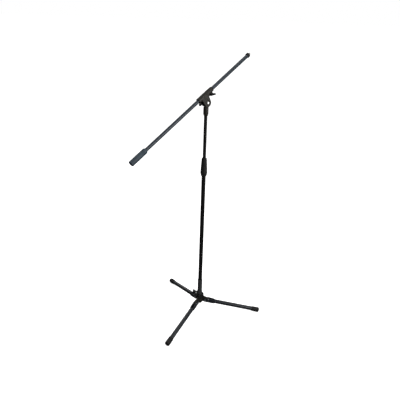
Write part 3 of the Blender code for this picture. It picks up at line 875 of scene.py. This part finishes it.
def build_post():
    """Swivel post: a sleeve on the upper tube's end, and a flat eye for the tilt bolt."""
    low = span("swivel_post", MAST)[0]
    bore = 8.3 * MM
    outer = 12.3 * MM
    outline = [(0, SLEEVE_TOP), (outer, SLEEVE_TOP), (outer, low + 9 * MM),
               (bore + 0.8 * MM, low), (0, low)]
    radii = [0, 1.8 * MM, 1.5 * MM, 0.4 * MM, 0]
    body = turned_mesh("post_body", fillet(outline, radii, closed=False), FINE, closed=False)
    drop = SLEEVE_TOP - TILT_POINT.z - 0.5 * MM
    eye = wrap(((0, 0, 13 * MM), (drop, 7 * MM, 1.5 * MM), (drop, -7 * MM, 1.5 * MM)))
    steps = [
        ("UNION", prism_mesh("eye", eye, -6 * MM, 6 * MM), POST),
        ("DIFFERENCE", round_bar("eye_hole", BOLT_HOLE, -10 * MM, 10 * MM), POST),
        ("DIFFERENCE", round_bar("socket", bore, low - MM, SOCKET_TOP, FINE), MAST),
        ("DIFFERENCE", round_bar("thread_hole", 5 * MM, SOCKET_TOP - 2 * MM,
                                 SOCKET_TOP + 6 * MM), MAST),
    ]
    post = soften(merge("post", body, steps), 5, 0.5)
    place_piece("swivel_casting", post, MAST, "mast_top", ["swivel_post"])


# ---------------------------------------------------------------- tilt joint and boom clamp

EAR_INNER = 7.6 * MM
EAR_OUTER = 13.6 * MM
RECESS_RADIUS = 11.5 * MM
CLAMP_KNOB_TURN = Matrix.Rotation(math.radians(60), 4, "Z")
TILT_KNOB_TURN = Matrix.Rotation(math.radians(40), 4, "Z")


def ear_outline(side):
    """Cheek round the tilt bolt; the boom's axis is at Y = side, which may be above or below."""
    up = math.copysign(1, side)
    crown = [(14 * MM, side - 3 * MM * up, 8 * MM), (-12 * MM, side - 8 * MM * up, 8 * MM)]
    if up < 0:
        crown.reverse()
    return wrap([(0, 0, 19 * MM)] + crown, 32)


def build_clamp():
    """Boom clamp: a sleeve round the boom's bush, two ears, and a boss for the clamp screw."""
    low = -36 * MM
    high = 56 * MM
    outer = 12.6 * MM
    bore = 10.5 * MM
    to_boom = TILT.inverted() @ BOOM
    to_screw = TILT.inverted() @ SCREW
    outline = [(0, high), (bore + 0.8 * MM, high), (outer - 0.6 * MM, high - 9 * MM),
               (outer, high - 16 * MM), (outer, low + 1.5 * MM), (outer - 1.2 * MM, low),
               (0, low)]
    radii = [0, 0.4 * MM, 3 * MM, 4 * MM, 1 * MM, 0.5 * MM, 0]
    sleeve = turned_mesh("sleeve", fillet(outline, radii, closed=False), FINE, closed=False)
    sleeve.transform(to_boom)
    ear = ear_outline(to_boom.translation.y)
    past = 20 * MM
    steps = [
        ("UNION", prism_mesh("ear", ear, EAR_INNER, EAR_OUTER), OWN),
        ("UNION", prism_mesh("ear", ear, -EAR_OUTER, -EAR_INNER), OWN),
        ("DIFFERENCE", round_bar("bolt_hole", BOLT_HOLE, -past, past), OWN),
        ("DIFFERENCE", round_bar("recess", RECESS_RADIUS, EAR_OUTER - 1.5 * MM, past, FINE), OWN),
        ("DIFFERENCE", round_bar("far_recess", RECESS_RADIUS, -past, 0.6 * MM - EAR_OUTER, FINE),
         OWN),
        ("UNION", round_bar("boss", 7 * MM, 5 * MM, 14.7 * MM), to_screw),
        ("DIFFERENCE", round_bar("bore", bore, low - 5 * MM, high + 5 * MM, FINE), to_boom),
        ("DIFFERENCE", round_bar("pad_hole", 4.3 * MM, 8 * MM, 13.2 * MM), to_screw),
        ("DIFFERENCE", round_bar("screw_hole", 3.3 * MM, 8 * MM, 22 * MM), to_screw),
    ]
    clamp = soften(merge("clamp", sleeve, steps), 5, 0.5)
    place_piece("clamp_casting", clamp, TILT, "clamp", ["boom_clamp_body"])


SOCKET_RADIUS = 2.1 * MM


def build_tilt_bolt():
    """Tilt bolt with a six-sided socket in its head, its two washers and its wing knob."""
    low, high = span("tilt_bolt", TILT)
    seat = EAR_OUTER - 1.2 * MM
    head = 6.5 * MM
    shank = 4 * MM
    outline = [(0, high), (head * 0.62, high), (head, high - 2.4 * MM), (head, seat),
               (shank, seat), (shank, low + MM), (shank - 0.8 * MM, low), (0, low)]
    radii = [0, 1.2 * MM, 1.6 * MM, 0.3 * MM, 0, 0, 0, 0]
    body = turned_mesh("bolt_body", fillet(outline, radii, closed=False), FINE, closed=False)
    angles = [step * math.pi / 3 for step in range(6)]
    corners = [(SOCKET_RADIUS * math.cos(angle), SOCKET_RADIUS * math.sin(angle))
               for angle in angles]
    socket = prism_mesh("socket", corners, high - 2.6 * MM, high + 5 * MM)
    bolt = merge("bolt", body, [("DIFFERENCE", socket, OWN)])
    smooth_with_creases(bolt)
    place_piece("tilt_bolt_plated", bolt, TILT, "clamp", ["tilt_bolt"])
    for name in ("tilt_washer_far", "tilt_washer_near"):
        start, end = span(name, TILT)
        outline = fillet(ring_outline(12 * MM, 4.35 * MM, start, end), 0.25 * MM, 3)
        place_piece(name + "_ring", turned_mesh(name, outline), TILT, "clamp", [name])
    knob_place = axes_frame(TILT_POINT, -TILT_AXIS, UP) @ TILT_KNOB_TURN
    wing_knob("tilt_wing_knob", "tilt_knob", knob_place, "tilt_knob", hub=9 * MM,
              height=22 * MM, reach=24 * MM, thickness=6.5 * MM, depth=14 * MM, bore=BOLT_HOLE)


def build_clamp_screw():
    wing_screw_piece("clamp_screw", "boom_clamp_screw", SCREW, "clamp_knob")
    wing_knob("clamp_wing_knob", "boom_clamp_knob", SCREW @ CLAMP_KNOB_TURN, "clamp_knob",
              hub=7.5 * MM, height=12 * MM, reach=20 * MM, thickness=5.5 * MM, depth=8.5 * MM)


# ---------------------------------------------------------------- boom

BOOM_BORE = 8.8 * MM             # of what fits round the boom's tube


def build_boom():
    tube_piece("boom_steel_tube", "boom_tube", BOOM, "boom")
    low, high = span("boom_clamp_bush", BOOM)
    rim = 11.6 * MM
    wall = 10.2 * MM
    flange = high - 2 * MM
    outline = [(rim, high), (rim, flange), (wall, flange), (wall, low), (BOOM_BORE, low),
               (BOOM_BORE, high)]
    bush = turned_mesh("bush", fillet(outline, 0.4 * MM, 4))
    place_piece("clamp_bush", bush, BOOM, "boom_bush", ["boom_clamp_bush"])
    build_tip()
    build_counterweight()


KNURLS = 32
STUD_RADIUS = 4.7 * MM
STUD_PITCH = 1.59 * MM
STUD_DEPTH = 0.6 * MM
STUD_BEVEL = 0.8 * MM


def build_tip():
    """Knurled cap on the boom's upper end, and the threaded stud that it holds."""
    low, high = span("boom_tip_cap", BOOM)
    outer = widest("boom_tip_cap", BOOM)
    hole = narrowest("boom_tip_cap", BOOM, high - 0.5 * MM)
    step = high - 5.7 * MM
    outline = [(outer, high), (outer, low), (BOOM_BORE, low), (BOOM_BORE, step), (hole, step),
               (hole, high)]
    outline = refine(fillet(outline, [1 * MM, 1 * MM, 0.4 * MM, 0, 0, 0.5 * MM]), 0.6 * MM)

    def knurl(angle, radius, height):
        if radius < outer - 0.3 * MM:
            return radius
        ends = min(1.0, (high - MM - height) / (0.8 * MM), (height - low - MM) / (0.8 * MM))
        return radius - 0.35 * MM * max(0.0, ends) * (0.5 - 0.5 * math.cos(angle * KNURLS))

    cap = turned_mesh("tip_cap", outline, 8 * KNURLS, relief=knurl)
    place_piece("tip_cap", cap, BOOM, "boom", ["boom_tip_cap"])
    start, end = span("boom_tip_stud", BOOM)
    shoulder = high - 6.3 * MM
    plug = widest("boom_tip_stud", BOOM)
    outline = [(0, end), (STUD_RADIUS - STUD_BEVEL, end), (STUD_RADIUS, end - STUD_BEVEL),
               (STUD_RADIUS, shoulder), (plug, shoulder), (plug, start), (0, start)]
    ridge = thread_relief(STUD_PITCH, STUD_DEPTH, high, end - STUD_BEVEL)

    def thread(angle, radius, height):
        """The thread is only on the shank, not on the plug or the end faces."""
        on_shank = abs(radius - STUD_RADIUS) <= 0.02 * STUD_RADIUS
        return ridge(angle, radius, height) if on_shank else radius

    outline = refine(outline, STUD_PITCH / RINGS_PER_PITCH)
    stud = turned_mesh("stud", outline, FINE, closed=False, relief=thread)
    place_piece("tip_stud", stud, BOOM, "boom", ["boom_tip_stud"])


WEIGHT_RINGS = 7
WEIGHT_RING_GAP = 2.6 * MM


def build_counterweight():
    """Rubber sleeve over the weight; it is open round the tube and has a small end hole."""
    low, high = span("counterweight_sleeve", BOOM)
    outer = widest("counterweight_sleeve", BOOM)
    pocket = 11.6 * MM
    pocket_low = low + 5 * MM
    pocket_high = high - 7 * MM
    end_hole = 5 * MM
    outline = [(BOOM_BORE + 1.2 * MM, high), (outer - 1.5 * MM, high - 2 * MM),
               (outer, high - 8 * MM), (outer, low + 3 * MM), (outer - 2 * MM, low),
               (end_hole, low), (end_hole, pocket_low), (pocket, pocket_low),
               (pocket, pocket_high), (BOOM_BORE, pocket_high), (BOOM_BORE, high)]
    radii = [0.6 * MM, 3 * MM, 3 * MM, 2 * MM, 0.8 * MM, 0.6 * MM, 0, 0, 0, 0, 0]
    outline = refine(fillet(outline, radii), 0.4 * MM)

    def ribs(angle, radius, height):
        """Rings moulded round the tube end and a shallow band at the far end."""
        if radius < outer - 0.6 * MM:
            return radius
        groove = max(0.0, 1 - abs(low + 9 * MM - height) / (0.8 * MM))
        for ring in range(WEIGHT_RINGS):
            middle = high - 13 * MM - ring * WEIGHT_RING_GAP
            groove += max(0.0, 1 - abs(middle - height) / (0.85 * MM))
        return radius - 0.6 * MM * min(1.0, groove)

    sleeve = turned_mesh("weight", outline, FINE, relief=ribs)
    # the weight's colour holds a painted blue reflection over its dark rubber
    place_piece("counterweight_rubber", sleeve, BOOM, "boom", ["counterweight_sleeve"],
                "weight_rubber_and_blue_sheen")


def finish_inner_nodes():
    """Gives every CAD solid a finish: those inside, such as the collet, are carried over."""
    for name, item in NODES.items():
        look = find_look(SLOT_LOOKS[name], carried=True)
        for slot in item.material_slots:
            slot.material = look


# ---------------------------------------------------------------- stage

FLOOR_HALF = 400
FLOOR_GLOW = 0.8


def build_floor():
    """Pale floor that runs past the horizon and throws no light on the object's underside."""
    mesh = bpy.data.meshes.new("studio_floor")
    shape = bmesh.new()
    bmesh.ops.create_grid(shape, x_segments=1, y_segments=1, size=FLOOR_HALF)
    shape.to_mesh(mesh)
    shape.free()
    floor = bpy.data.objects.new("studio_floor", mesh)
    bpy.context.scene.collection.objects.link(floor)
    work = Nodes("studio_floor")
    place = work.add("TexCoord").outputs["Object"]
    tone = work.mix(work.noise(place, 3.0), (0.90, 0.90, 0.90), (0.93, 0.93, 0.93))
    work.link(tone, work.shader.inputs["Base Color"])
    work.shader.inputs["Roughness"].default_value = 0.9
    work.shader.inputs["Specular IOR Level"].default_value = 0.1
    work.shader.inputs["Emission Color"].default_value = (1, 1, 1, 1)
    work.shader.inputs["Emission Strength"].default_value = FLOOR_GLOW
    mesh.materials.append(work.material)
    floor.visible_diffuse = False
    floor.visible_glossy = False


LIGHTS = (                       # name, place, aim, width and height, watts
    ("key", (1.9, -2.1, 1.7), (0, 0, 0.7), (1.5, 1.5), 50),
    ("top", (0.8, 0.6, 3.4), (0, 0, 0.6), (2.4, 2.4), 16),
    ("side", (2.6, -0.6, 1.1), (0, 0, 0.9), (1.0, 1.8), 16),
    ("back", (-1.4, 2.4, 1.8), (0, 0, 0.7), (1.4, 1.8), 26),
)


def area_light(name, place, target, size, power):
    data = bpy.data.lights.new(name, "AREA")
    data.shape = "RECTANGLE"
    data.size = size[0]
    data.size_y = size[1]
    data.energy = power
    lamp = bpy.data.objects.new(name, data)
    aim = (Vector(target) - Vector(place)).to_track_quat("-Z", "Y")
    lamp.matrix_world = Matrix.Translation(place) @ aim.to_matrix().to_4x4()
    bpy.context.scene.collection.objects.link(lamp)


SKY_SIDE = 0.08
SKY_TOP = 0.55
SKY_TOP_FROM = 0.8               # height of a direction where the sky is brightest
BACKDROP = 1.0


def build_world():
    """White backdrop for the camera; for the object, a sky brighter above than at the side."""
    world = bpy.data.worlds.new("studio")
    bpy.context.scene.world = world
    world.use_nodes = True
    tree = world.node_tree
    tree.nodes.clear()
    place = tree.nodes.new("ShaderNodeTexCoord")
    split = tree.nodes.new("ShaderNodeSeparateXYZ")
    tree.links.new(place.outputs["Generated"], split.inputs[0])
    height = tree.nodes.new("ShaderNodeMapRange")
    height.inputs["From Min"].default_value = 0.0
    height.inputs["From Max"].default_value = SKY_TOP_FROM
    height.inputs["To Min"].default_value = SKY_SIDE
    height.inputs["To Max"].default_value = SKY_TOP
    tree.links.new(split.outputs["Z"], height.inputs["Value"])
    seen = tree.nodes.new("ShaderNodeLightPath")
    choose = tree.nodes.new("ShaderNodeMix")
    tree.links.new(seen.outputs["Is Camera Ray"], choose.inputs["Factor"])
    tree.links.new(height.outputs["Result"], choose.inputs[2])
    choose.inputs[3].default_value = BACKDROP
    sky = tree.nodes.new("ShaderNodeBackground")
    tree.links.new(choose.outputs[0], sky.inputs["Strength"])
    output = tree.nodes.new("ShaderNodeOutputWorld")
    tree.links.new(sky.outputs[0], output.inputs["Surface"])
    sky.inputs["Color"].default_value = (1, 1, 1, 1)


def build_camera():
    data = bpy.data.cameras.new("camera")
    data.lens = CAMERA_LENS
    data.sensor_width = 36
    data.clip_end = 1000
    camera = bpy.data.objects.new("camera", data)
    bpy.context.scene.collection.objects.link(camera)
    bpy.context.scene.camera = camera
    spot = Matrix.Rotation(CAMERA_ROUND, 4, "Z") @ Vector((0, -CAMERA_DISTANCE, CAMERA_HEIGHT))
    aim = Matrix.Rotation(CAMERA_TURN, 4, "Z") @ Matrix.Rotation(
        math.radians(90) - CAMERA_PITCH, 4, "X") @ Matrix.Rotation(CAMERA_ROLL, 4, "Z")
    camera.matrix_world = Matrix.Translation(spot) @ aim


bpy.context.scene.view_settings.view_transform = "Standard"
build_hub()
build_collar()
build_lock_screw()
build_legs()
build_mast()
build_grip()
build_post()
build_clamp()
build_tilt_bolt()
build_clamp_screw()
build_boom()
finish_inner_nodes()
build_floor()
build_world()
build_camera()
for light in LIGHTS:
    area_light(*light)
